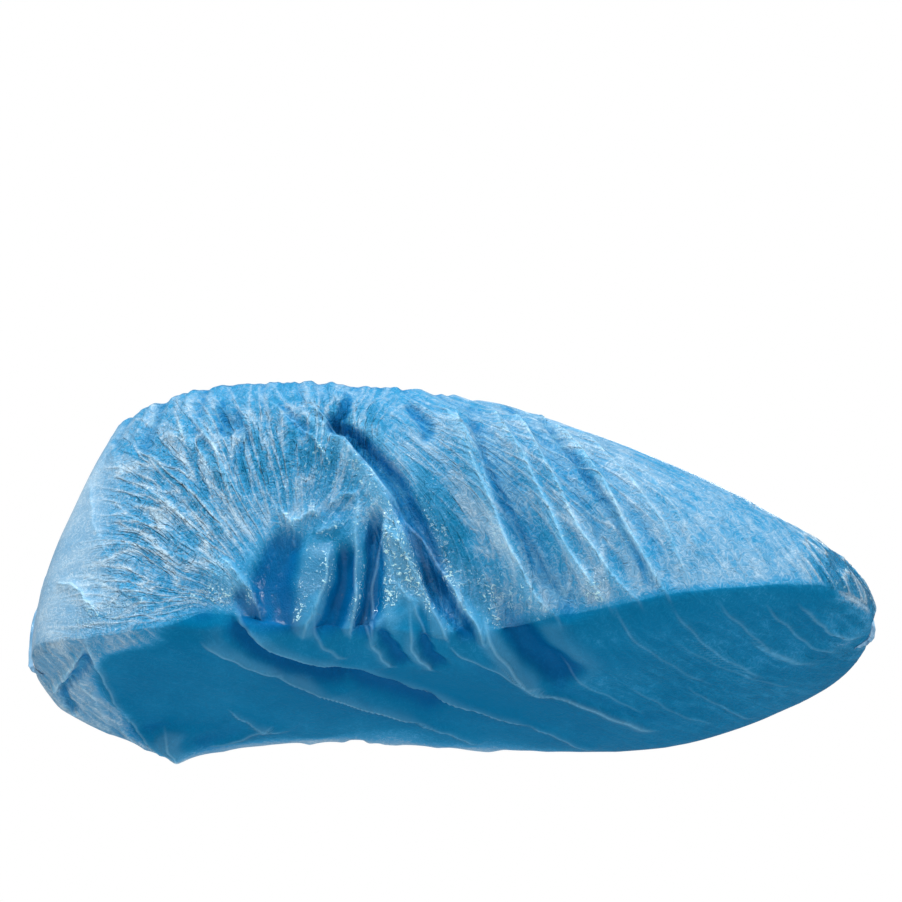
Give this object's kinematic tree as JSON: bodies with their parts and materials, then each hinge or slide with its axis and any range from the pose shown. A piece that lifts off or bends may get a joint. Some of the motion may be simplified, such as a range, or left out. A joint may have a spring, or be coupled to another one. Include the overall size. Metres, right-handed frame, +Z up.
{
  "type": "shoe cover",
  "caption": "Disposable shoe cover of thin blue film, held in its worn form: a loose bag with a gathered elastic opening, folds over the instep and a creased sole",
  "frame": {"origin": "under the middle of the foot at the height of its tread, where the cover is held in its worn form", "axes": "+X from heel to toe, -Y the side the viewer sees, +Z up through the opening"},
  "size_m": [0.3375, 0.1205, 0.131],
  "materials": {
    "film": "thin translucent blue film, embossed, glossy",
    "elastic": "matt white elastic",
    "seal": "doubled film, heat sealed"
  },
  "bodies": {
    "root": {"film_cover": "film", "elastic_band": "elastic", "toe_seal": "seal", "heel_seal": "seal"}
  },
  "joints": []
}
